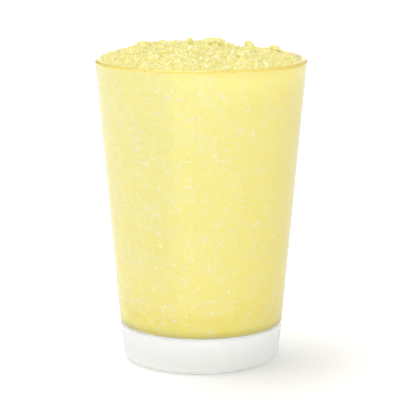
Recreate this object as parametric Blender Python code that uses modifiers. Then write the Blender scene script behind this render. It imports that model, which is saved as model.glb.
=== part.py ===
"""A frozen slush drink: a heavy-based conical tumbler, filled and heaped with crushed ice in lemon syrup.

Metres, +Z up. The origin is on the glass's axis, on the surface that it stands on, and -Y faces the viewer.
Two pieces: the glass, turned about its axis, and the slush, which fills it and stands above the rim in a
craggy heap with its larger lumps and grains of ice fused on.
"""

import math
import random

import bmesh
import bpy
from mathutils import Euler, Vector, noise

MM = 0.001
SIDES = 64

# Glass
GLASS_HEIGHT = 130 * MM
FOOT_RADIUS = 33.5 * MM
NECK_RADIUS = 44.8 * MM
FOOT_ROUNDING = 4.2 * MM
WALL = 2.4 * MM
BASE_THICKNESS = 15.5 * MM
FLOOR_ROUNDING = 5 * MM
RIM_BEAD_RADIUS = 1.4 * MM
RIM_BEAD_PROUD = 0.25 * MM
RIM_BEAD_BLEND = 38
PUNT_RADIUS = 24 * MM
PUNT_SLOPE = 3 * MM
PUNT_DEPTH = 0.8 * MM
CORNER_STEPS = 4
BEAD_STEPS = 9

# Slush
CLEARANCE = 0.3 * MM
TOP_RADIUS = 41.8 * MM
EDGE_DROP = 2.2 * MM
EDGE_TILT = 1.2 * MM
HEAP_RISE = 6 * MM
HEAP_SHOULDER = 4.5
SWELL_SIZE = 15 * MM
SWELL_RELIEF = 1.1 * MM
LUMP_SIZE = 5.2 * MM
LUMP_RELIEF = 2.8 * MM
LUMP_MEAN = 0.5
CRAG_STEEPNESS = 1.5
WALL_CALM = 0.6
GRID_CELL = 2.1 * MM
PLUG_TOP = 150 * MM

# The crags that break the heap's outline: x, y, rise above the dome and reach. A negative rise is a dip.
CRAGS = (
    (-25.5 * MM, 5 * MM, 0.8 * MM, 6 * MM),
    (-16.5 * MM, 3 * MM, 1.2 * MM, 5 * MM),
    (-10 * MM, 6 * MM, 1.1 * MM, 6 * MM),
    (-5 * MM, 4 * MM, 1.7 * MM, 4 * MM),
    (5 * MM, 3 * MM, 1.1 * MM, 8 * MM),
    (20.3 * MM, 4 * MM, 2 * MM, 5 * MM),
    (28.5 * MM, 3 * MM, 1.5 * MM, 8 * MM),
    (14.2 * MM, 5 * MM, -1.9 * MM, 5.5 * MM),
    (-20.8 * MM, 5 * MM, -2.6 * MM, 4 * MM),
)

# The clods that stand proud of it: x, y, half width, half depth, half height, and how far the middle is
# above the heap there. The fourth is the wide block whose right end overhangs a dip.
CLODS = (
    (-24.8 * MM, 5 * MM, 2.9 * MM, 2.4 * MM, 1.6 * MM, 0),
    (-16.6 * MM, 3.5 * MM, 2 * MM, 2.2 * MM, 1.5 * MM, 0),
    (-5 * MM, 4 * MM, 1.5 * MM, 1.4 * MM, 2.1 * MM, 0.8 * MM),
    (4.9 * MM, 3.4 * MM, 5.3 * MM, 4 * MM, 2.1 * MM, 0.3 * MM),
    (20.2 * MM, 4.2 * MM, 2.2 * MM, 2 * MM, 1.8 * MM, 0.1 * MM),
    (31 * MM, 3 * MM, 3.2 * MM, 2.6 * MM, 1.4 * MM, 0),
    (-9 * MM, -17 * MM, 3.4 * MM, 2.8 * MM, 1.9 * MM, 0),
    (17 * MM, -20 * MM, 3 * MM, 2.6 * MM, 1.7 * MM, 0),
    (-28 * MM, -14 * MM, 2.6 * MM, 2.9 * MM, 1.6 * MM, 0),
    (8 * MM, 24 * MM, 3.3 * MM, 2.7 * MM, 1.9 * MM, 0),
    (-17 * MM, 23 * MM, 2.8 * MM, 3 * MM, 1.7 * MM, 0),
)

# Ice grains, and how rough the faces of grains and clods are
GRAIN_COUNT = 80
GRAIN_SMALLEST = 1 * MM
GRAIN_LARGEST = 2.1 * MM
GRAIN_SPREAD_RADIUS = 39 * MM
GRAIN_SUNK = 0.35
GRAIN_STRETCH = (0.75, 1.2)
GRAIN_DRIFT = 0.15
GRAIN_SEED = 7
ICE_DENTS = 0.22
ICE_DENT_SIZE = 0.6
GOLDEN_ANGLE = math.pi * (3 - math.sqrt(5))


def clear_scene():
    for found in list(bpy.data.objects):
        bpy.data.objects.remove(found, do_unlink=True)


def new_collection(name, hidden=False):
    made = bpy.data.collections.new(name)
    made.hide_render = hidden
    bpy.context.scene.collection.children.link(made)
    return made


def new_object(name, mesh, collection, material=None):
    made = bpy.data.objects.new(name, mesh)
    collection.objects.link(made)
    if material:
        mesh.materials.append(material)
    return made


def principled(name, **settings):
    """A material whose Principled shader takes these settings, by socket name with _ for a space."""
    made = bpy.data.materials.new(name)
    made.use_nodes = True
    shader = made.node_tree.nodes["Principled BSDF"]
    for socket, value in settings.items():
        shader.inputs[socket.replace("_", " ")].default_value = value
    return made


def arc(centre, radius, start, end, steps):
    """Points (r, z) on an arc, its angles in degrees from +r towards +z."""
    points = []
    for step in range(steps + 1):
        angle = math.radians(start + (end - start) * step / steps)
        points.append((centre[0] + radius * math.cos(angle), centre[1] + radius * math.sin(angle)))
    return points


def wall_lean():
    """Angle of the outer wall from the vertical, in degrees."""
    return math.degrees(math.atan2(NECK_RADIUS - FOOT_RADIUS, GLASS_HEIGHT))


def outer_radius(z):
    return FOOT_RADIUS + (NECK_RADIUS - FOOT_RADIUS) * z / GLASS_HEIGHT


def inner_radius(z):
    return outer_radius(z) - WALL


def floor_corner(gap=0.0):
    """Rounded corner from the inner wall down to the floor, standing off the glass by gap."""
    rounding = FLOOR_ROUNDING - gap
    floor = BASE_THICKNESS + gap
    lean = math.radians(wall_lean())
    middle_z = floor + rounding
    middle_r = inner_radius(middle_z) - gap / math.cos(lean) - rounding / math.cos(lean)
    return arc((middle_r, middle_z), rounding, -wall_lean(), -90, CORNER_STEPS)


def glass_profile():
    """The glass's half section, from the floor's middle up the inside, over the rim and down the outside."""
    lean = wall_lean()
    inside = [(0, BASE_THICKNESS)] + floor_corner()[::-1]
    bead_z = GLASS_HEIGHT - RIM_BEAD_RADIUS
    bead_r = outer_radius(bead_z) + RIM_BEAD_PROUD - RIM_BEAD_RADIUS
    rim = arc((bead_r, bead_z), RIM_BEAD_RADIUS, 180 + RIM_BEAD_BLEND, -RIM_BEAD_BLEND, BEAD_STEPS)
    foot_r = outer_radius(FOOT_ROUNDING) - FOOT_ROUNDING / math.cos(math.radians(lean))
    foot = arc((foot_r, FOOT_ROUNDING), FOOT_ROUNDING, -lean, -90, CORNER_STEPS)
    punt = [(PUNT_RADIUS, 0), (PUNT_RADIUS - PUNT_SLOPE, PUNT_DEPTH), (0, PUNT_DEPTH)]
    return inside + rim + foot + punt


def slush_profile():
    """The half section of all that the glass could hold, run straight up past the heap."""
    lean = math.radians(wall_lean())
    top_z = GLASS_HEIGHT - 3 * RIM_BEAD_RADIUS
    top_r = min(inner_radius(top_z) - CLEARANCE / math.cos(lean), TOP_RADIUS)
    floor = BASE_THICKNESS + CLEARANCE
    return [(0, PLUG_TOP), (top_r, PLUG_TOP), (top_r, top_z)] + floor_corner(CLEARANCE) + [(0, floor)]


def turned(name, profile, collection, material=None):
    """A solid turned about Z from a half section that starts and ends on the axis."""
    mesh = bpy.data.meshes.new(name)
    points = [(r, 0, z) for r, z in profile]
    edges = [(i, i + 1) for i in range(len(points) - 1)]
    mesh.from_pydata(points, edges, [])
    made = new_object(name, mesh, collection, material)
    screw = made.modifiers.new("Turn", "SCREW")
    screw.steps = screw.render_steps = SIDES
    screw.use_merge_vertices = True
    screw.merge_threshold = 0.01 * MM
    screw.use_smooth_shade = True
    return made


def crag_height(x, y):
    total = 0
    for crag_x, crag_y, rise, reach in CRAGS:
        near = max(0, 1 - ((x - crag_x) ** 2 + (y - crag_y) ** 2) / reach**2)
        total += rise * near**CRAG_STEEPNESS
    return total


def lump_height(x, y):
    """Rounded lumps of ice pressed together, as cells that bulge at their middles."""
    distances, _ = noise.voronoi(Vector((x / LUMP_SIZE, y / LUMP_SIZE, 0)))
    return LUMP_RELIEF * (LUMP_MEAN - min(distances[0], 1))


def heap_height(x, y):
    """Height of the heap over (x, y): a flat-topped dome that falls to the wall, with its relief."""
    out = min(math.hypot(x, y) / TOP_RADIUS, 1)
    level = GLASS_HEIGHT - EDGE_DROP - EDGE_TILT * x / TOP_RADIUS
    dome = HEAP_RISE * (1 - out**HEAP_SHOULDER)
    swell = SWELL_RELIEF * noise.noise(Vector((x / SWELL_SIZE, y / SWELL_SIZE, 0)))
    relief = swell + crag_height(x, y) + lump_height(x, y)
    return level + dome + relief * (1 - WALL_CALM * out**HEAP_SHOULDER)


def heap_block(collection, material):
    """A solid block wider than the glass, flat below, its top face raised to the heap's surface."""
    half = TOP_RADIUS + 2 * GRID_CELL
    cells = round(2 * half / GRID_CELL)
    mesh = bpy.data.meshes.new("slush")
    form = bmesh.new()
    bmesh.ops.create_grid(form, x_segments=cells, y_segments=cells, size=half)
    top = form.faces[:]
    raised = bmesh.ops.extrude_face_region(form, geom=top)["geom"]
    bmesh.ops.triangulate(form, faces=[face for face in raised if isinstance(face, bmesh.types.BMFace)])
    for vert in [part for part in raised if isinstance(part, bmesh.types.BMVert)]:
        vert.co.z = heap_height(vert.co.x, vert.co.y)
    bmesh.ops.recalc_face_normals(form, faces=form.faces[:])
    form.to_mesh(mesh)
    form.free()
    return new_object("slush", mesh, collection, material)


def ice_piece(name, place, halves, turn, fineness, collection):
    """A rough lump of ice: a ball with few faces, stretched to its half sizes, dented and turned."""
    mesh = bpy.data.meshes.new(name)
    form = bmesh.new()
    bmesh.ops.create_icosphere(form, subdivisions=fineness, radius=1)
    rotation = Euler(turn).to_matrix()
    for vert in form.verts:
        dent = 1 + ICE_DENTS * noise.noise(vert.co / ICE_DENT_SIZE + Vector(place) / GRAIN_LARGEST)
        shaped = Vector(co * half * dent for co, half in zip(vert.co, halves))
        vert.co = rotation @ shaped + Vector(place)
    form.to_mesh(mesh)
    form.free()
    made = new_object(name, mesh, collection)
    made.display_type = "WIRE"
    return made


def add_clods(collection):
    for number, (x, y, half_x, half_y, half_z, above) in enumerate(CLODS):
        place = (x, y, heap_height(x, y) + above)
        ice_piece(f"clod_{number}", place, (half_x, half_y, half_z), (0, 0, number), 2, collection)


def add_grains(collection):
    """Loose grains on the heap, evenly spread on a spiral, each with its own seeded size and turn."""
    draw = random.Random(GRAIN_SEED)
    for number in range(GRAIN_COUNT):
        reach = GRAIN_SPREAD_RADIUS * math.sqrt((number + 0.5) / GRAIN_COUNT)
        angle = number * GOLDEN_ANGLE + draw.uniform(-GRAIN_DRIFT, GRAIN_DRIFT)
        x, y = reach * math.cos(angle), reach * math.sin(angle)
        size = GRAIN_SMALLEST + (GRAIN_LARGEST - GRAIN_SMALLEST) * draw.random() ** 2
        halves = [size * draw.uniform(*GRAIN_STRETCH) for _ in range(3)]
        turn = [draw.uniform(0, math.tau) for _ in range(3)]
        place = (x, y, heap_height(x, y) + size * (0.5 - GRAIN_SUNK))
        ice_piece(f"grain_{number}", place, halves, turn, 1, collection)


def add_boolean(target, operation, cutters):
    """Joins or cuts target with every object of a collection, exactly."""
    boolean = target.modifiers.new(operation.title(), "BOOLEAN")
    boolean.operation = operation
    boolean.operand_type = "COLLECTION"
    boolean.collection = cutters
    boolean.solver = "EXACT"


def keep_largest_shell(mesh):
    """Drops every shell but the largest, which fills sealed hollows and clears loose scraps."""
    form = bmesh.new()
    form.from_mesh(mesh)
    waiting, shells = set(form.faces), []
    while waiting:
        shell, edge = set(), [waiting.pop()]
        while edge:
            face = edge.pop()
            shell.add(face)
            for near in {linked for side in face.edges for linked in side.link_faces} & waiting:
                waiting.discard(near)
                edge.append(near)
        shells.append(shell)
    shells.sort(key=len)
    scraps = [face for shell in shells[:-1] for face in shell]
    bmesh.ops.delete(form, geom=scraps, context="FACES")
    form.to_mesh(mesh)
    form.free()


def apply_modifiers(target):
    """Swaps the object's mesh for the one its modifiers make."""
    bpy.context.view_layer.update()
    evaluated = target.evaluated_get(bpy.context.evaluated_depsgraph_get())
    target.data = bpy.data.meshes.new_from_object(evaluated)
    target.modifiers.clear()


def make_slush(collection, material):
    ice = new_collection("ice", hidden=True)
    hollow = new_collection("glass_hollow", hidden=True)
    slush = heap_block(collection, material)
    add_clods(ice)
    add_grains(ice)
    plug = turned("plug", slush_profile(), hollow)
    plug.display_type = "WIRE"
    add_boolean(slush, "UNION", ice)
    add_boolean(slush, "INTERSECT", hollow)
    apply_modifiers(slush)
    keep_largest_shell(slush.data)
    for tool in (*ice.objects, *hollow.objects):
        bpy.data.objects.remove(tool, do_unlink=True)
    return slush


def make_glass(collection, material):
    return turned("glass", glass_profile(), collection, material)


def main():
    clear_scene()
    drink = new_collection("frozen_slush_drink")
    frosted_glass = principled(
        "Frosted tumbler glass",
        Base_Color=(0.93, 0.95, 0.94, 1),
        Roughness=0.35,
        IOR=1.5,
        Transmission_Weight=1.0,
    )
    lemon_ice = principled("Lemon ice slush", Base_Color=(0.93, 0.82, 0.3, 1), Roughness=0.4, IOR=1.31)
    make_glass(drink, frosted_glass)
    make_slush(drink, lemon_ice)


main()
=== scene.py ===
"""The frozen slush drink as it looks: crushed lemon ice heaped in a cold, frosted tumbler, in a white studio.

The glass and the slush are rebuilt here at full fineness over the solids of the frame, from the same named
sizes. The heap is a craggy core with clods on it, under three sizes of loose ice grain, and flecks of clear
ice lie against the wall.
"""

import math

import bmesh
import bpy
import numpy as np
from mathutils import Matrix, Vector, noise


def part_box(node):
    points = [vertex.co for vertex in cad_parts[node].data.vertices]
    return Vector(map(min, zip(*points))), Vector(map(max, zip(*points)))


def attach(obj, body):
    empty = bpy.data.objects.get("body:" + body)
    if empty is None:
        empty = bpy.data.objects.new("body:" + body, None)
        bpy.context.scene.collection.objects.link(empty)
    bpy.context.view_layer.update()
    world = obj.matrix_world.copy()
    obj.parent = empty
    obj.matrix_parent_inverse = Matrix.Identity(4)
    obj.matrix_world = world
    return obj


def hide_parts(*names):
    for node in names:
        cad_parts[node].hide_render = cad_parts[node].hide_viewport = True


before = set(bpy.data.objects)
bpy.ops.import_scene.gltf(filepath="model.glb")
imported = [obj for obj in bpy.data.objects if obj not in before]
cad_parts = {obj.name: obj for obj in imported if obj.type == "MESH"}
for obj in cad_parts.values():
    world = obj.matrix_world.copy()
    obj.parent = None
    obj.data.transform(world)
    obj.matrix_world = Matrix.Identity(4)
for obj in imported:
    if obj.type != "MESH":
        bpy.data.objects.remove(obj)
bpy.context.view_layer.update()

MM = 0.001
GLASS_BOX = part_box("glass")
SLUSH_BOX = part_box("slush")

# The glass. The rim's reach and the height are the frame's.
TURN_STEPS = 192
FLOOR_STEPS = 6
CORNER_STEPS = 10
INNER_WALL_STEPS = 16
BEAD_STEPS = 24
OUTER_WALL_STEPS = 20
FOOT_STEPS = 12
GLASS_SHARP = 40
GLASS_TOP = GLASS_BOX[1].z
RIM_RADIUS = GLASS_BOX[1].x
NOMINAL_HEIGHT = 130 * MM
FOOT_RADIUS = 33.5 * MM
NECK_RADIUS = 44.8 * MM
FOOT_ROUNDING = 4.2 * MM
WALL = 2.4 * MM
CLEARANCE = 0.3 * MM
GLASS_FLOOR = SLUSH_BOX[0].z - CLEARANCE
BASE_TOP = 0.75 * GLASS_FLOOR
FLOOR_ROUNDING = 5 * MM
RIM_BEAD_RADIUS = 1.4 * MM
RIM_BEAD_BLEND = 38
PUNT_RADIUS = 24 * MM
PUNT_SLOPE = 3 * MM
PUNT_DEPTH = 0.8 * MM
OUTSIDE, INSIDE, BRIM, BASE = range(4)
GLASS_IOR = 1.5

# The slush. It reaches just into the glass, so that no air shows between them.
INTO_GLASS = 0.06 * MM
HEAP_PLAN_RADIUS = 41.8 * MM
HEAP_CELLS = 200
EDGE_DROP = 2.2 * MM
WALL_TOP = NOMINAL_HEIGHT - 3 * EDGE_DROP
WALL_EDGE_STEPS = 4
WALL_STEPS = 12
HEAP_SHARP = 60
PACKED, LOOSE = range(2)
ICE_IOR = 1.31
EDGE_TILT = 1.2 * MM
HEAP_RISE = 6 * MM
HEAP_SHOULDER = 4.5
SWELL_SIZE = 15 * MM
SWELL_RELIEF = 1.1 * MM
LUMP_SIZE = 5.2 * MM
LUMP_RELIEF = 2.8 * MM
LUMP_MEAN = 0.5
KNOB_SIZE = 2.3 * MM
KNOB_RELIEF = 0.9 * MM
GRIT_SIZE = 1.1 * MM
GRIT_RELIEF = 0.4 * MM
CRAG_STEEPNESS = 1.5
WALL_CALM = 0.6
BRIM_GAP = 0.4 * MM
CLIMB_STEEPNESS = 8
BARE_STEEPNESS = 3

# The crags that break the heap's outline: x, y, rise above the dome and reach. A negative rise is a dip.
CRAGS = (
    (-25.5 * MM, 5 * MM, 0.8 * MM, 6 * MM),
    (-16.5 * MM, 3 * MM, 1.2 * MM, 5 * MM),
    (-10 * MM, 6 * MM, 1.1 * MM, 6 * MM),
    (-5 * MM, 4 * MM, 1.7 * MM, 4 * MM),
    (5 * MM, 3 * MM, 1.1 * MM, 8 * MM),
    (20.3 * MM, 4 * MM, 2 * MM, 5 * MM),
    (28.5 * MM, 3 * MM, 1.5 * MM, 8 * MM),
    (14.2 * MM, 5 * MM, -1.9 * MM, 5.5 * MM),
    (-20.8 * MM, 5 * MM, -2.6 * MM, 4 * MM),
)

# The clods that stand proud: x, y, half width, half depth, half height, and the middle's height over the heap
CLODS = (
    (-24.8 * MM, 5 * MM, 2.9 * MM, 2.4 * MM, 1.6 * MM, 0),
    (-16.6 * MM, 3.5 * MM, 2 * MM, 2.2 * MM, 1.5 * MM, 0),
    (-5 * MM, 4 * MM, 1.5 * MM, 1.4 * MM, 2.1 * MM, 0.8 * MM),
    (4.9 * MM, 3.4 * MM, 5.3 * MM, 4 * MM, 2.1 * MM, 0.3 * MM),
    (20.2 * MM, 4.2 * MM, 2.2 * MM, 2 * MM, 1.8 * MM, 0.1 * MM),
    (31 * MM, 3 * MM, 3.2 * MM, 2.6 * MM, 1.4 * MM, 0),
    (-9 * MM, -17 * MM, 3.4 * MM, 2.8 * MM, 1.9 * MM, 0),
    (17 * MM, -20 * MM, 3 * MM, 2.6 * MM, 1.7 * MM, 0),
    (-28 * MM, -14 * MM, 2.6 * MM, 2.9 * MM, 1.6 * MM, 0),
    (8 * MM, 24 * MM, 3.3 * MM, 2.7 * MM, 1.9 * MM, 0),
    (-17 * MM, 23 * MM, 2.8 * MM, 3 * MM, 1.7 * MM, 0),
)
CLOD_FINENESS = 5
CLOD_DENTS = 0.2
CLOD_DENT_SIZE = 0.6
# Painted light: the clods take a paler tint than the heap's top, to make up for the shade on their steep sides.
CLOD_LIGHTENED_TINT = 0.4
HEAP_TINT = 0.2

# Loose grains: name, how many, smallest and largest half size, and the share of it that is sunk
GRAINS = (
    ("ice_lumps", 450, 0.75 * MM, 1.3 * MM, 0.6),
    ("ice_grains", 3600, 0.4 * MM, 0.75 * MM, 0.5),
    ("ice_crumbs", 8000, 0.2 * MM, 0.4 * MM, 0.35),
)
GRAIN_SEED = 11
GRAIN_SQUASH = (0.65, 1.25)
GRAIN_FEW_LARGE = 2
GRAIN_DENTS = 0.3
GRAIN_WALL_GAP = 0.5 * MM
GRAIN_LOWEST = NOMINAL_HEIGHT - 2 * EDGE_DROP
GRAIN_OVERHANG = -0.3

# Flecks of ice against the wall. Width and thickness are shares of the length, tip is in radians.
FLECK_SEED = 5
FLECK_COUNT = 1500
FLECK_LONG = (0.35 * MM, 1.5 * MM)
FLECK_FEW_LONG = 3
FLECK_CROWDING = 0.8
FLECK_WIDTH = (0.35, 0.7)
FLECK_THICKNESS = 0.05
FLECK_TIP = 0.9
FLECK_PROUD = 0.1 * MM

# The camera, as the photograph was taken
PICTURE_WIDTH = 400
AXIS_PIXEL = 201.25
FOCAL_PIXELS = 1842.8
CAMERA_DISTANCE = 775.1 * MM
CAMERA_HEIGHT = 223.35 * MM
CAMERA_PITCH = 11.29
CAMERA_REACH = (0.05, 20)
SENSOR_WIDTH = 36

# The table that the drink stands on, and the light
TABLE_WIDTH = 8.0
TABLE_GLOW = 0.13
ROOM_LIGHT = 1.25

# Lamps: name, where it shines from, strength, and its width as seen from the drink in degrees
LAMPS = (
    ("top_light", (-0.35, 0.22, 1.65), 1.6, 36),
    ("front_light", (0.42, -1.0, 0.4), 0.94, 80),
    ("left_light", (-1.0, -0.5, 0.5), 0.5, 50),
    ("back_light", (0.3, 1.0, 0.45), 0.34, 80),
)


def linear(hex_colour):
    """An sRGB hex colour, such as "f9ee9b", as linear red, green and blue, and an alpha of 1."""
    parts = [int(hex_colour[i : i + 2], 16) / 255 for i in (0, 2, 4)]
    return [c / 12.92 if c <= 0.04045 else ((c + 0.055) / 1.055) ** 2.4 for c in parts] + [1.0]


def add_node(tree, kind, stops=None, **settings):
    """Adds a node. A setting is one of its properties, a socket's value, or the node or socket to link to it.

    A socket goes by its identifier or its name with _ for a space. stops are a ramp's (place, hex) pairs.
    """
    made = tree.nodes.new(kind)
    for key, value in settings.items():
        if key in made.bl_rna.properties:
            setattr(made, key, value)
    for number, (place, colour) in enumerate(stops or ()):
        ramp = made.color_ramp.elements
        between = 0 < number < len(stops) - 1
        stop = ramp.new(place) if between else ramp[len(ramp) - 1 if number else 0]
        stop.position, stop.color = place, linear(colour)
    for key, value in settings.items():
        if key in made.bl_rna.properties:
            continue
        socket = next(s for s in made.inputs if key in (s.identifier, s.name.replace(" ", "_")))
        if isinstance(value, bpy.types.Node):
            value = next(s for s in value.outputs if s.enabled)
        if isinstance(value, bpy.types.NodeSocket):
            tree.links.new(value, socket)
        else:
            socket.default_value = value
    return made


def new_material(name):
    """An empty material: its node tree and the output that its shader goes to."""
    made = bpy.data.materials.new(name)
    made.use_nodes = True
    made.node_tree.nodes.clear()
    return made, made.node_tree, made.node_tree.nodes.new("ShaderNodeOutputMaterial")


def let_lamps_through(tree, glass, output):
    """Rays from lamps pass the thin wall nearly undimmed and light what is behind it."""
    path = add_node(tree, "ShaderNodeLightPath")
    clear = add_node(tree, "ShaderNodeBsdfTransparent", Color=linear("fafbfa"))
    mixed = add_node(
        tree, "ShaderNodeMixShader", Fac=path.outputs["Is Shadow Ray"], Shader=glass, Shader_001=clear
    )
    tree.links.new(mixed.outputs["Shader"], output.inputs["Surface"])


def arc(centre, radius, start, end, steps):
    """Points (r, z) on an arc, its angles in degrees from +r towards +z."""
    angles = [math.radians(start + (end - start) * step / steps) for step in range(steps + 1)]
    return [(centre[0] + radius * math.cos(a), centre[1] + radius * math.sin(a)) for a in angles]


def outer_radius(z):
    return FOOT_RADIUS + (NECK_RADIUS - FOOT_RADIUS) * z / NOMINAL_HEIGHT


def inner_radius(z):
    return outer_radius(z) - WALL


def wall_lean():
    """Angle of the wall from the vertical, in degrees."""
    return math.degrees(math.atan2(NECK_RADIUS - FOOT_RADIUS, NOMINAL_HEIGHT))


def floor_corner(into=0.0):
    """Rounded corner from the inner wall down to the floor, reaching into the glass by into."""
    rounding = FLOOR_ROUNDING + into
    slope = math.cos(math.radians(wall_lean()))
    middle_z = GLASS_FLOOR + FLOOR_ROUNDING
    middle_r = inner_radius(middle_z) - FLOOR_ROUNDING / slope
    return arc((middle_r, middle_z), rounding, -wall_lean(), -90, CORNER_STEPS)


def rim_bead():
    """The rolled rim, from the top of the inner wall over to the top of the outer wall."""
    middle = (RIM_RADIUS - RIM_BEAD_RADIUS, GLASS_TOP - RIM_BEAD_RADIUS)
    return arc(middle, RIM_BEAD_RADIUS, 180 + RIM_BEAD_BLEND, -RIM_BEAD_BLEND, BEAD_STEPS)


def inside_radius(z):
    """Radius of the glass's inner face, which runs straight from the floor's corner to the rim."""
    (low_r, low_z), (top_r, top_z) = floor_corner()[0], rim_bead()[0]
    return low_r + (top_r - low_r) * (z - low_z) / (top_z - low_z)


def spaced(start, end, steps):
    """Points between two points of a section, without the first."""
    return [tuple(a + (b - a) * step / steps for a, b in zip(start, end)) for step in range(1, steps + 1)]


def turned_mesh(name, section):
    """A closed mesh turned about Z from a half section that starts and ends on the axis."""
    form = bmesh.new()
    points = [form.verts.new((r, 0, z)) for r, z in section]
    edges = [form.edges.new(pair) for pair in zip(points, points[1:])]
    turn = {"axis": (0, 0, 1), "angle": math.tau, "steps": TURN_STEPS, "use_merge": True}
    bmesh.ops.spin(form, geom=points + edges, **turn)
    bmesh.ops.remove_doubles(form, verts=form.verts[:], dist=0.001 * MM)
    bmesh.ops.recalc_face_normals(form, faces=form.faces[:])
    mesh = bpy.data.meshes.new(name)
    form.to_mesh(mesh)
    form.free()
    return mesh


def new_piece(name, mesh, *materials):
    """A piece of the drink that rides on its one body."""
    made = bpy.data.objects.new(name, mesh)
    bpy.context.scene.collection.objects.link(made)
    for material in materials:
        mesh.materials.append(material)
    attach(made, "root")
    return made


def make_tumbler(outside, inside, brim, base):
    """The glass: frosted where the room's air meets it, clear where the slush lies against it."""
    lean = wall_lean()
    corner = floor_corner()[::-1]
    rim = rim_bead()
    foot_r = outer_radius(FOOT_ROUNDING) - FOOT_ROUNDING / math.cos(math.radians(lean))
    foot = arc((foot_r, FOOT_ROUNDING), FOOT_ROUNDING, -lean, -90, FOOT_STEPS)
    section = [(0, GLASS_FLOOR), *spaced((0, GLASS_FLOOR), corner[0], FLOOR_STEPS), *corner[1:]]
    section += spaced(corner[-1], rim[0], INNER_WALL_STEPS) + rim[1:]
    section += spaced(rim[-1], foot[0], OUTER_WALL_STEPS) + foot[1:]
    section += [(PUNT_RADIUS, 0), (PUNT_RADIUS - PUNT_SLOPE, PUNT_DEPTH), (0, PUNT_DEPTH)]
    mesh = turned_mesh("tumbler", section)
    tumbler = new_piece("tumbler", mesh, outside, inside, brim, base)
    for face in mesh.polygons:
        middle = face.center
        inner = math.hypot(middle.x, middle.y) < outer_radius(middle.z) - WALL / 2
        if middle.z < BASE_TOP:
            face.material_index = BASE
        elif middle.z > GLASS_TOP - RIM_BEAD_RADIUS:
            face.material_index = BRIM
        else:
            face.material_index = INSIDE if inner else OUTSIDE
    mesh.shade_smooth()
    mesh.set_sharp_from_angle(angle=math.radians(GLASS_SHARP))
    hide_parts("glass")


def bulge(x, y, size, relief, mean=LUMP_MEAN):
    """Height of lumps of ice pressed together: cells of this size that bulge at their middles."""
    distances, _ = noise.voronoi(Vector((x / size, y / size, 0)))
    return relief * (mean - min(distances[0], 1))


def crag_height(x, y):
    total = 0
    for crag_x, crag_y, rise, reach in CRAGS:
        near = max(0, 1 - ((x - crag_x) ** 2 + (y - crag_y) ** 2) / reach**2)
        total += rise * near**CRAG_STEEPNESS
    return total


def heap_height(x, y):
    """Height of the heap over (x, y), as the frame's solid has it, without the finer relief."""
    out = min(math.hypot(x, y) / HEAP_PLAN_RADIUS, 1)
    level = NOMINAL_HEIGHT - EDGE_DROP - EDGE_TILT * x / HEAP_PLAN_RADIUS
    dome = HEAP_RISE * (1 - out**HEAP_SHOULDER)
    swell = SWELL_RELIEF * noise.noise(Vector((x / SWELL_SIZE, y / SWELL_SIZE, 0)))
    relief = swell + crag_height(x, y) + bulge(x, y, LUMP_SIZE, LUMP_RELIEF)
    return level + dome + relief * (1 - WALL_CALM * out**HEAP_SHOULDER)


def wall_climb(x, y):
    """How far the slush climbs the glass, to just under the rim all round but at the right and back."""
    across, back = x / HEAP_PLAN_RADIUS, y / HEAP_PLAN_RADIUS
    bare = max(0, min(1, BARE_STEEPNESS * back)) * max(0, min(1, BARE_STEEPNESS * across))
    missing = EDGE_DROP + EDGE_TILT * across - BRIM_GAP
    return missing * (1 - bare) * min(math.hypot(across, back), 1) ** CLIMB_STEEPNESS


def craggy_height(x, y):
    """The heap's height with knobs and grit finer than the frame's solid carries."""
    fine = bulge(x, y, KNOB_SIZE, KNOB_RELIEF) + bulge(x, y, GRIT_SIZE, GRIT_RELIEF)
    return heap_height(x, y) + fine + wall_climb(x, y)


def on_disc(u, v):
    """A point of the square from -1 to 1 moved onto the unit disc, so that a grid's cells stay even."""
    if u == 0 and v == 0:
        return 0.0, 0.0
    if abs(u) > abs(v):
        reach, angle = u, math.pi / 4 * v / u
    else:
        reach, angle = v, math.pi / 2 - math.pi / 4 * u / v
    return reach * math.cos(angle), reach * math.sin(angle)


def make_slush_body(packed, loose):
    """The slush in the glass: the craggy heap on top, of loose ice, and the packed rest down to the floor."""
    form = bmesh.new()
    bmesh.ops.create_grid(form, x_segments=HEAP_CELLS, y_segments=HEAP_CELLS, size=1)
    fill_radius = inside_radius(NOMINAL_HEIGHT - EDGE_DROP) + INTO_GLASS
    for vert in form.verts:
        x, y = (fill_radius * co for co in on_disc(vert.co.x, vert.co.y))
        vert.co = (x, y, craggy_height(x, y))
    for face in form.faces:
        face.material_index = LOOSE
    rim = [edge for edge in form.edges if edge.is_boundary]
    for left in range(WALL_EDGE_STEPS, 0, -1):
        rim = drawn_down(form, rim, lambda z: z + (WALL_TOP - z) / left)
    corner = floor_corner(INTO_GLASS)
    for _, low in spaced((0, WALL_TOP), corner[0], WALL_STEPS):
        rim = drawn_down(form, rim, lambda z: low)
    for radius, low in corner[1:]:
        rim = drawn_down(form, rim, lambda z: low, radius)
    bmesh.ops.contextual_create(form, geom=rim)
    for face in form.faces[HEAP_CELLS**2 :]:
        face.material_index = PACKED
    bmesh.ops.recalc_face_normals(form, faces=form.faces[:])
    mesh = bpy.data.meshes.new("slush_body")
    form.to_mesh(mesh)
    form.free()
    mesh.shade_smooth()
    mesh.set_sharp_from_angle(angle=math.radians(HEAP_SHARP))
    tint = mesh.attributes.new("tint", "FLOAT", "POINT")
    tint.data.foreach_set("value", [HEAP_TINT] * len(mesh.vertices))
    body = new_piece("slush_body", mesh, packed, loose)
    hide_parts("slush")
    return body


def drawn_down(form, rim, lower, radius=None):
    """Carries the slush's open rim down to a new height, at a radius or, with none, just into the glass."""
    raised = bmesh.ops.extrude_edge_only(form, edges=rim)["geom"]
    for vert in [part for part in raised if isinstance(part, bmesh.types.BMVert)]:
        z = lower(vert.co.z)
        out = Vector((vert.co.x, vert.co.y)).normalized() * (radius or inside_radius(z) + INTO_GLASS)
        vert.co = (out.x, out.y, z)
    return [part for part in raised if isinstance(part, bmesh.types.BMEdge)]


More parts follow.
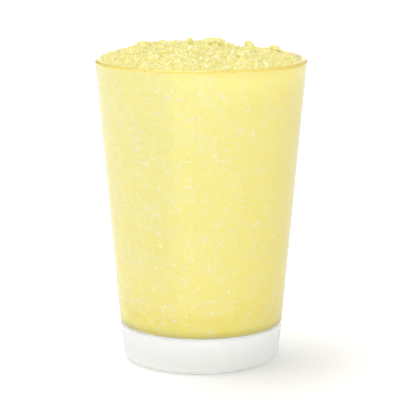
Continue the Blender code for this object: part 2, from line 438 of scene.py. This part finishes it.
def make_clods(material):
    """The larger clods of pressed ice, where the frame's solid has them, each with grit all over."""
    form = bmesh.new()
    for number, (x, y, half_x, half_y, half_z, above) in enumerate(CLODS):
        ball = bmesh.ops.create_icosphere(form, subdivisions=CLOD_FINENESS, radius=1)["verts"]
        middle = Vector((x, y, heap_height(x, y) + above))
        turn = Vector((math.cos(number), math.sin(number)))
        for vert in ball:
            place = vert.co.copy()
            distances, _ = noise.voronoi(place * half_x / KNOB_SIZE + middle / MM)
            dent = 1 + CLOD_DENTS * (noise.noise(place / CLOD_DENT_SIZE + middle / MM) - distances[0])
            local = Vector((place.x * half_x, place.y * half_y, place.z * half_z)) * dent
            spun_x = local.x * turn.x - local.y * turn.y
            spun_y = local.x * turn.y + local.y * turn.x
            vert.co = middle + Vector((spun_x, spun_y, local.z))
    mesh = bpy.data.meshes.new("ice_clods")
    form.to_mesh(mesh)
    form.free()
    mesh.shade_smooth()
    # Painted light: the clods' paler tint makes up for the shade on their steep sides.
    tint = mesh.attributes.new("tint", "FLOAT", "POINT")
    tint.data.foreach_set("value", [CLOD_LIGHTENED_TINT] * len(mesh.vertices))
    clods = new_piece("ice_clods", mesh, material)
    return clods


def unit_ball():
    """The points and faces of a ball with twenty faces."""
    form = bmesh.new()
    bmesh.ops.create_icosphere(form, subdivisions=1, radius=1)
    points = np.array([vert.co for vert in form.verts])
    faces = np.array([[vert.index for vert in face.verts] for face in form.faces])
    form.free()
    return points, faces


def random_turns(draw, count):
    """Random rotation matrices, from random unit quaternions."""
    w, x, y, z = (lambda q: q / np.linalg.norm(q, axis=0))(draw.normal(size=(4, count)))
    rows = (
        (1 - 2 * (y * y + z * z), 2 * (x * y - z * w), 2 * (x * z + y * w)),
        (2 * (x * y + z * w), 1 - 2 * (x * x + z * z), 2 * (y * z - x * w)),
        (2 * (x * z - y * w), 2 * (y * z + x * w), 1 - 2 * (x * x + y * y)),
    )
    return np.array(rows).transpose(2, 0, 1)


def crystals_mesh(name, middles, halves, turns, draw):
    """One mesh of many rough crystals: dented balls of twenty flat faces, each with a random tint."""
    ball, faces = unit_ball()
    count = len(middles)
    dents = 1 + GRAIN_DENTS * draw.uniform(-1, 1, (count, len(ball), 1))
    points = np.einsum("nij,npj->npi", turns, ball[None] * dents * halves[:, None, :]) + middles[:, None, :]
    corners = faces[None] + len(ball) * np.arange(count)[:, None, None]
    mesh = bpy.data.meshes.new(name)
    mesh.from_pydata(points.reshape(-1, 3).tolist(), [], corners.reshape(-1, 3).tolist())
    tint = mesh.attributes.new("tint", "FLOAT", "POINT")
    tint.data.foreach_set("value", np.repeat(draw.random(count), len(ball)).astype(np.float32))
    return mesh


def surface_points(pieces, count, draw):
    """Random points and normals, evenly spread over the upper faces of these pieces."""
    corners = []
    for piece in pieces:
        mesh = piece.data
        mesh.calc_loop_triangles()
        points = np.array([vert.co for vert in mesh.vertices])
        corners.append(points[np.array([tri.vertices for tri in mesh.loop_triangles])])
    corners = np.concatenate(corners)
    cross = np.cross(corners[:, 1] - corners[:, 0], corners[:, 2] - corners[:, 0])
    area = np.linalg.norm(cross, axis=1)
    above = (corners[:, :, 2].min(axis=1) > GRAIN_LOWEST) & (cross[:, 2] > GRAIN_OVERHANG * area)
    chosen = draw.choice(len(corners), count, p=area * above / (area * above).sum())
    u, v = draw.random((2, count, 1))
    u, v = np.where(u + v > 1, 1 - u, u), np.where(u + v > 1, 1 - v, v)
    a, b, c = (corners[chosen, i] for i in range(3))
    return a + u * (b - a) + v * (c - a), cross[chosen] / area[chosen, None]


def make_grains(surfaces, material):
    """Loose grains of crushed ice over the heap and its clods, in three sizes, one mesh for each."""
    for seed, (name, count, smallest, largest, sunk) in enumerate(GRAINS):
        draw = np.random.default_rng(GRAIN_SEED + seed)
        places, normals = surface_points(surfaces, count, draw)
        sizes = smallest + (largest - smallest) * draw.random(count) ** GRAIN_FEW_LARGE
        halves = sizes[:, None] * draw.uniform(*GRAIN_SQUASH, (count, 3))
        places = places + normals * (sizes * (0.5 - sunk))[:, None]
        reach = np.hypot(places[:, 0], places[:, 1]) + halves.max(axis=1)
        kept = reach < HEAP_PLAN_RADIUS + CLEARANCE - GRAIN_WALL_GAP * (sizes > GRAINS[-1][3])
        kept &= places[:, 2] + halves.max(axis=1) < SLUSH_BOX[1].z
        turns = random_turns(draw, count)
        mesh = crystals_mesh(name, places[kept], halves[kept], turns[kept], draw)
        new_piece(name, mesh, material)


def make_flecks(material):
    """Flat flecks of clear ice frozen to the glass's inner face, a little closer together near the top."""
    draw = np.random.default_rng(FLECK_SEED)
    low, high = SLUSH_BOX[0].z + FLOOR_ROUNDING, GRAIN_LOWEST
    heights = low + (high - low) * draw.random(FLECK_COUNT) ** FLECK_CROWDING
    angles = draw.uniform(0, math.tau, FLECK_COUNT)
    shortest, longest = FLECK_LONG
    long_half = shortest + (longest - shortest) * draw.random(FLECK_COUNT) ** FLECK_FEW_LONG
    wide_half = long_half * draw.uniform(*FLECK_WIDTH, FLECK_COUNT)
    halves = np.stack([FLECK_THICKNESS * long_half, wide_half, long_half], axis=1)
    radii = inside_radius(heights) + FLECK_PROUD - halves[:, 0]
    middles = np.stack([radii * np.cos(angles), radii * np.sin(angles), heights], axis=1)
    tip = draw.normal(0, FLECK_TIP, FLECK_COUNT)
    out = np.stack([np.cos(angles), np.sin(angles), np.zeros(FLECK_COUNT)], axis=1)
    across = np.stack([-np.sin(angles), np.cos(angles), np.zeros(FLECK_COUNT)], axis=1)
    up = np.tile([0.0, 0.0, 1.0], (FLECK_COUNT, 1))
    side = across * np.cos(tip)[:, None] + up * np.sin(tip)[:, None]
    length = up * np.cos(tip)[:, None] - across * np.sin(tip)[:, None]
    mesh = crystals_mesh("ice_flecks", middles, halves, np.stack([out, side, length], axis=2), draw)
    new_piece("ice_flecks", mesh, material)


def packed_slush():
    """Crushed ice frozen in lemon syrup and pressed against glass.

    Light scatters between the grains, so it reads as one soft pale yellow. It drifts paler where ice has
    gathered. Towards the right it is painted a deeper yellow, as painted shade on the side away from the lamps.
    In the last few millimetres over the floor it is painted a bright deep yellow, as painted light coming up
    through the base into the shaded corner. The soft shards of ice in it are drawn about twice as coarse as
    real ones, which would be too fine to show.
    """
    material, tree, output = new_material("Lemon ice slush, crushed and packed")
    place = add_node(tree, "ShaderNodeTexCoord").outputs["Object"]
    height = add_node(tree, "ShaderNodeSeparateXYZ", Vector=place).outputs["Z"]
    # Painted light: a bright deep yellow in the last few millimetres over the floor stands for light coming up
    # through the base into the shaded corner.
    share = add_node(
        tree, "ShaderNodeMapRange", Value=height, From_Min=SLUSH_BOX[0].z, From_Max=NOMINAL_HEIGHT
    )
    floor_lit_ramp = add_node(
        tree,
        "ShaderNodeValToRGB",
        stops=[(0.0, "fff070"), (0.07, "ffec78"), (0.18, "fef090"), (1.0, "fef39c")],
        Fac=share,
    )
    clouds = add_node(tree, "ShaderNodeTexNoise", Vector=place, Scale=1 / (9 * MM), Detail=3.0, Roughness=0.6)
    drift = add_node(tree, "ShaderNodeMapRange", Value=clouds, From_Min=0.45, From_Max=0.75, To_Max=0.25)
    clouded = add_node(
        tree, "ShaderNodeMix", data_type="RGBA", Factor_Float=drift, A_Color=floor_lit_ramp, B_Color=linear("fffbe0")
    )
    shards = add_node(
        tree, "ShaderNodeTexNoise", Vector=place, Scale=1 / (2.4 * MM), Detail=1.5, Distortion=0.2
    )
    icy = add_node(tree, "ShaderNodeMapRange", Value=shards, From_Min=0.55, From_Max=0.7, To_Max=0.6)
    gathered = add_node(tree, "ShaderNodeMapRange", Value=clouds, From_Min=0.38, From_Max=0.62, To_Min=0.2)
    shown = add_node(tree, "ShaderNodeMath", operation="MULTIPLY", Value=icy, Value_001=gathered)
    iced = add_node(
        tree, "ShaderNodeMix", data_type="RGBA", Factor_Float=shown, A_Color=clouded, B_Color=linear("fffbe0")
    )
    # Painted shade: the syrup share below paints the slush a deeper yellow towards the right, the side away
    # from the lamps.
    across = add_node(tree, "ShaderNodeSeparateXYZ", Vector=place).outputs["X"]
    syrup = add_node(
        tree, "ShaderNodeMapRange", Value=across, From_Min=0.0, From_Max=NECK_RADIUS, To_Max=0.75
    )
    right_shaded = add_node(
        tree, "ShaderNodeMix", data_type="RGBA", Factor_Float=syrup, A_Color=iced, B_Color=linear("feed86")
    )
    grit = add_node(tree, "ShaderNodeTexNoise", Vector=place, Scale=1 / (1.1 * MM), Detail=2.0)
    bump = add_node(tree, "ShaderNodeBump", Height=grit, Distance=0.2 * MM, Strength=0.4)
    shader = add_node(
        tree,
        "ShaderNodeBsdfPrincipled",
        Base_Color=right_shaded,
        Roughness=0.38,
        IOR=ICE_IOR,
        Subsurface_Weight=0.4,
        Subsurface_Radius=(1.0, 0.8, 0.35),
        Subsurface_Scale=1 * MM,
        Normal=bump,
    )
    tree.links.new(shader.outputs["BSDF"], output.inputs["Surface"])
    return material


def crushed_ice():
    """Loose crushed ice, wet with syrup: each grain its own pale or deeper yellow, glinting at its facets. The
    palest, near-white grains are partly painted highlights.
    """
    material, tree, output = new_material("Crushed ice, wet with lemon syrup")
    tint = add_node(tree, "ShaderNodeAttribute", attribute_name="tint").outputs["Fac"]
    # Partly painted highlights: the top of the ramp runs to near-white grains that also stand for glints.
    colour = add_node(
        tree,
        "ShaderNodeValToRGB",
        stops=[(0.0, "ebe28c"), (0.45, "f0e9a0"), (0.75, "f5efb6"), (1.0, "fffbe4")],
        Fac=tint,
    )
    shader = add_node(
        tree,
        "ShaderNodeBsdfPrincipled",
        Base_Color=colour,
        Roughness=0.35,
        IOR=ICE_IOR,
        Specular_IOR_Level=0.25,
    )
    tree.links.new(shader.outputs["BSDF"], output.inputs["Surface"])
    return material


def ice_fleck():
    """Clear ice frozen to the wall, with little syrup in it: cream to almost white flecks in the yellow."""
    material, tree, output = new_material("Clear ice, frozen to the glass")
    tint = add_node(tree, "ShaderNodeAttribute", attribute_name="tint").outputs["Fac"]
    colour = add_node(
        tree, "ShaderNodeValToRGB", stops=[(0.0, "fff7be"), (0.6, "fff8ca"), (1.0, "fffbe2")], Fac=tint
    )
    shader = add_node(
        tree,
        "ShaderNodeBsdfPrincipled",
        Base_Color=colour,
        Roughness=0.3,
        IOR=ICE_IOR,
    )
    tree.links.new(shader.outputs["BSDF"], output.inputs["Surface"])
    return material


def frosted_glass(thick):
    """Pressed soda-lime glass, chilled until its outside is bloomed with fine frost.

    The frost blurs what is behind it and lays a thin white veil over it: specks on the wall that thicken to the
    left, and an even white on the thick base, which has nothing yellow behind. The thickening to the left is
    partly a painted sheen, for the light from the left. Real frost is far finer than these specks, which are as
    coarse as they need to be to show. Lamps shine through the wall, not the base.
    """
    where = "base" if thick else "wall"
    material, tree, output = new_material(f"Soda-lime glass, pressed, bloomed with frost, {where}")
    place = add_node(tree, "ShaderNodeTexCoord").outputs["Object"]
    axes = add_node(tree, "ShaderNodeSeparateXYZ", Vector=place)
    base = add_node(
        tree,
        "ShaderNodeMapRange",
        interpolation_type="SMOOTHSTEP",
        Value=axes.outputs["Z"],
        From_Min=GLASS_FLOOR + 2.2 * MM,
        From_Max=GLASS_FLOOR - 1.2 * MM,
        To_Max=0.62,
    )
    coarse = add_node(
        tree,
        "ShaderNodeMapRange",
        Value=axes.outputs["Z"],
        From_Min=GLASS_FLOOR,
        From_Max=GLASS_FLOOR - 3.5 * MM,
        To_Min=0.25,
        To_Max=0.55,
    )
    # Partly painted sheen: the specks are frost, and their thickening to the left also stands for the sheen of
    # the light from the left.
    left = add_node(
        tree,
        "ShaderNodeMapRange",
        Value=axes.outputs["X"],
        From_Min=20 * MM,
        From_Max=-35 * MM,
        To_Min=0.01,
        To_Max=0.15,
    )
    grain = add_node(tree, "ShaderNodeTexNoise", Vector=place, Scale=1 / (0.7 * MM), Detail=2.0)
    specks = add_node(tree, "ShaderNodeMapRange", Value=grain, From_Min=0.4, From_Max=0.75)
    speckle = add_node(tree, "ShaderNodeMath", operation="MULTIPLY", Value=left, Value_001=specks)
    veil = add_node(tree, "ShaderNodeMath", operation="MAXIMUM", Value=speckle, Value_001=base)
    clear = add_node(tree, "ShaderNodeMath", operation="SUBTRACT", Value=1.0, Value_001=veil)
    bump = add_node(tree, "ShaderNodeBump", Height=grain.outputs["Fac"], Distance=0.02 * MM, Strength=0.3)
    shader = add_node(
        tree,
        "ShaderNodeBsdfPrincipled",
        Base_Color=linear("fbfcff"),
        Roughness=coarse,
        IOR=GLASS_IOR,
        Specular_IOR_Level=0.08,
        Transmission_Weight=clear,
        Normal=bump,
    )
    if thick:
        tree.links.new(shader.outputs["BSDF"], output.inputs["Surface"])
    else:
        let_lamps_through(tree, shader, output)
    return material


def painted_yellow_rim():
    """The top of the fire-polished rim, tinted a deeper yellow as a painted refraction of the slush seen
    through it.
    """
    material, tree, output = new_material("Soda-lime glass, fire-polished, filmed with syrup")
    place = add_node(tree, "ShaderNodeTexCoord").outputs["Object"]
    film = add_node(tree, "ShaderNodeTexNoise", Vector=place, Scale=1 / (4 * MM), Detail=2.0)
    # Painted refraction: the rim's deeper yellow stands for the slush seen through the bead.
    colour = add_node(tree, "ShaderNodeValToRGB", stops=[(0.3, "f0dc84"), (0.7, "f6e69c")], Fac=film)
    bump = add_node(tree, "ShaderNodeBump", Height=film, Distance=0.05 * MM, Strength=0.3)
    shader = add_node(
        tree,
        "ShaderNodeBsdfPrincipled",
        Base_Color=colour,
        Roughness=0.2,
        IOR=GLASS_IOR,
        Transmission_Weight=0.7,
        Normal=bump,
    )
    let_lamps_through(tree, shader, output)
    return material


def clear_glass():
    """The same glass where slush wets it and no frost can form: smooth and colourless, so it isn't seen."""
    material, tree, output = new_material("Soda-lime glass, pressed, wetted")
    place = add_node(tree, "ShaderNodeTexCoord").outputs["Object"]
    ripple = add_node(tree, "ShaderNodeTexNoise", Vector=place, Scale=1 / (12 * MM), Detail=1.0)
    bump = add_node(tree, "ShaderNodeBump", Height=ripple, Distance=0.05 * MM, Strength=0.3)
    shader = add_node(
        tree,
        "ShaderNodeBsdfPrincipled",
        Base_Color=linear("fafcfb"),
        Roughness=0.08,
        IOR=GLASS_IOR,
        Transmission_Weight=1.0,
        Normal=bump,
    )
    let_lamps_through(tree, shader, output)
    return material


def light_table():
    """Opal acrylic, matt on top and lit evenly from below: a clean white that takes a soft shadow."""
    material, tree, output = new_material("Opal acrylic, matt, lit from below")
    place = add_node(tree, "ShaderNodeTexCoord").outputs["Object"]
    grain = add_node(tree, "ShaderNodeTexNoise", Vector=place, Scale=1 / (2 * MM), Detail=2.0)
    bump = add_node(tree, "ShaderNodeBump", Height=grain, Distance=0.02 * MM, Strength=0.1)
    shader = add_node(
        tree,
        "ShaderNodeBsdfPrincipled",
        Base_Color=linear("f9f9f9"),
        Roughness=0.7,
        Specular_IOR_Level=0.1,
        Emission_Color=linear("ffffff"),
        Emission_Strength=TABLE_GLOW,
        Normal=bump,
    )
    tree.links.new(shader.outputs["BSDF"], output.inputs["Surface"])
    return material


def make_table():
    mesh = bpy.data.meshes.new("light_table")
    half = TABLE_WIDTH / 2
    corners = [(-half, -half, 0), (half, -half, 0), (half, half, 0), (-half, half, 0)]
    mesh.from_pydata(corners, [], [(0, 1, 2, 3)])
    mesh.materials.append(light_table())
    table = bpy.data.objects.new("light_table", mesh)
    bpy.context.scene.collection.objects.link(table)


def make_lamp(name, place, strength, spread):
    """A soft lamp that shines at the drink from afar."""
    lamp = bpy.data.lights.new(name, "SUN")
    lamp.energy = strength
    lamp.angle = math.radians(spread)
    made = bpy.data.objects.new(name, lamp)
    made.location = place
    made.rotation_euler = (-made.location).to_track_quat("-Z", "Y").to_euler()
    bpy.context.scene.collection.objects.link(made)


def make_studio():
    """A white room, dimmer overhead, and its lamps.

    Behind the drink, to both sides, stand darker screens that only shiny surfaces mirror. They draw the edges
    of the glass and its rim against the white.
    """
    world = bpy.data.worlds.new("white_room")
    world.use_nodes = True
    tree = world.node_tree
    direction = add_node(tree, "ShaderNodeTexCoord").outputs["Generated"]
    towards = add_node(tree, "ShaderNodeSeparateXYZ", Vector=direction)
    walls = add_node(
        tree,
        "ShaderNodeValToRGB",
        stops=[(0.0, "ffffff"), (0.2, "ffffff"), (0.5, "686868"), (0.9, "8c8c8c")],
        Fac=towards.outputs["Z"],
    )
    sideways = add_node(tree, "ShaderNodeMath", operation="ABSOLUTE", Value=towards.outputs["X"])
    beside = add_node(tree, "ShaderNodeMapRange", Value=sideways, From_Min=0.15, From_Max=0.3)
    behind = add_node(tree, "ShaderNodeMapRange", Value=towards.outputs["Y"], From_Min=0.0, From_Max=0.2)
    screens = add_node(tree, "ShaderNodeMath", operation="MULTIPLY", Value=beside, Value_001=behind)
    mirrored = add_node(tree, "ShaderNodeLightPath").outputs["Is Glossy Ray"]
    screened = add_node(tree, "ShaderNodeMath", operation="MULTIPLY", Value=screens, Value_001=mirrored)
    shade = linear("6a6450")
    room = add_node(
        tree, "ShaderNodeMix", data_type="RGBA", Factor_Float=screened, A_Color=walls, B_Color=shade
    )
    tree.nodes.remove(tree.nodes["Background"])
    light = add_node(tree, "ShaderNodeBackground", Color=room, Strength=ROOM_LIGHT)
    tree.links.new(light.outputs["Background"], tree.nodes["World Output"].inputs["Surface"])
    bpy.context.scene.world = world
    for lamp in LAMPS:
        make_lamp(*lamp)


def make_camera():
    lens = bpy.data.cameras.new("camera")
    lens.sensor_width = SENSOR_WIDTH
    lens.lens = FOCAL_PIXELS * SENSOR_WIDTH / PICTURE_WIDTH
    lens.clip_start, lens.clip_end = CAMERA_REACH
    camera = bpy.data.objects.new("camera", lens)
    aside = (PICTURE_WIDTH / 2 - AXIS_PIXEL) * CAMERA_DISTANCE / FOCAL_PIXELS
    camera.location = (aside, -CAMERA_DISTANCE, CAMERA_HEIGHT)
    camera.rotation_euler = (math.radians(90 - CAMERA_PITCH), 0, 0)
    bpy.context.scene.collection.objects.link(camera)
    bpy.context.scene.camera = camera


def main():
    make_camera()
    make_studio()
    make_table()
    bpy.context.scene.view_settings.view_transform = "Standard"
    ice = crushed_ice()
    make_tumbler(frosted_glass(thick=False), clear_glass(), painted_yellow_rim(), frosted_glass(thick=True))
    body = make_slush_body(packed_slush(), ice)
    clods = make_clods(ice)
    make_grains([body, clods], ice)
    make_flecks(ice_fleck())


main()
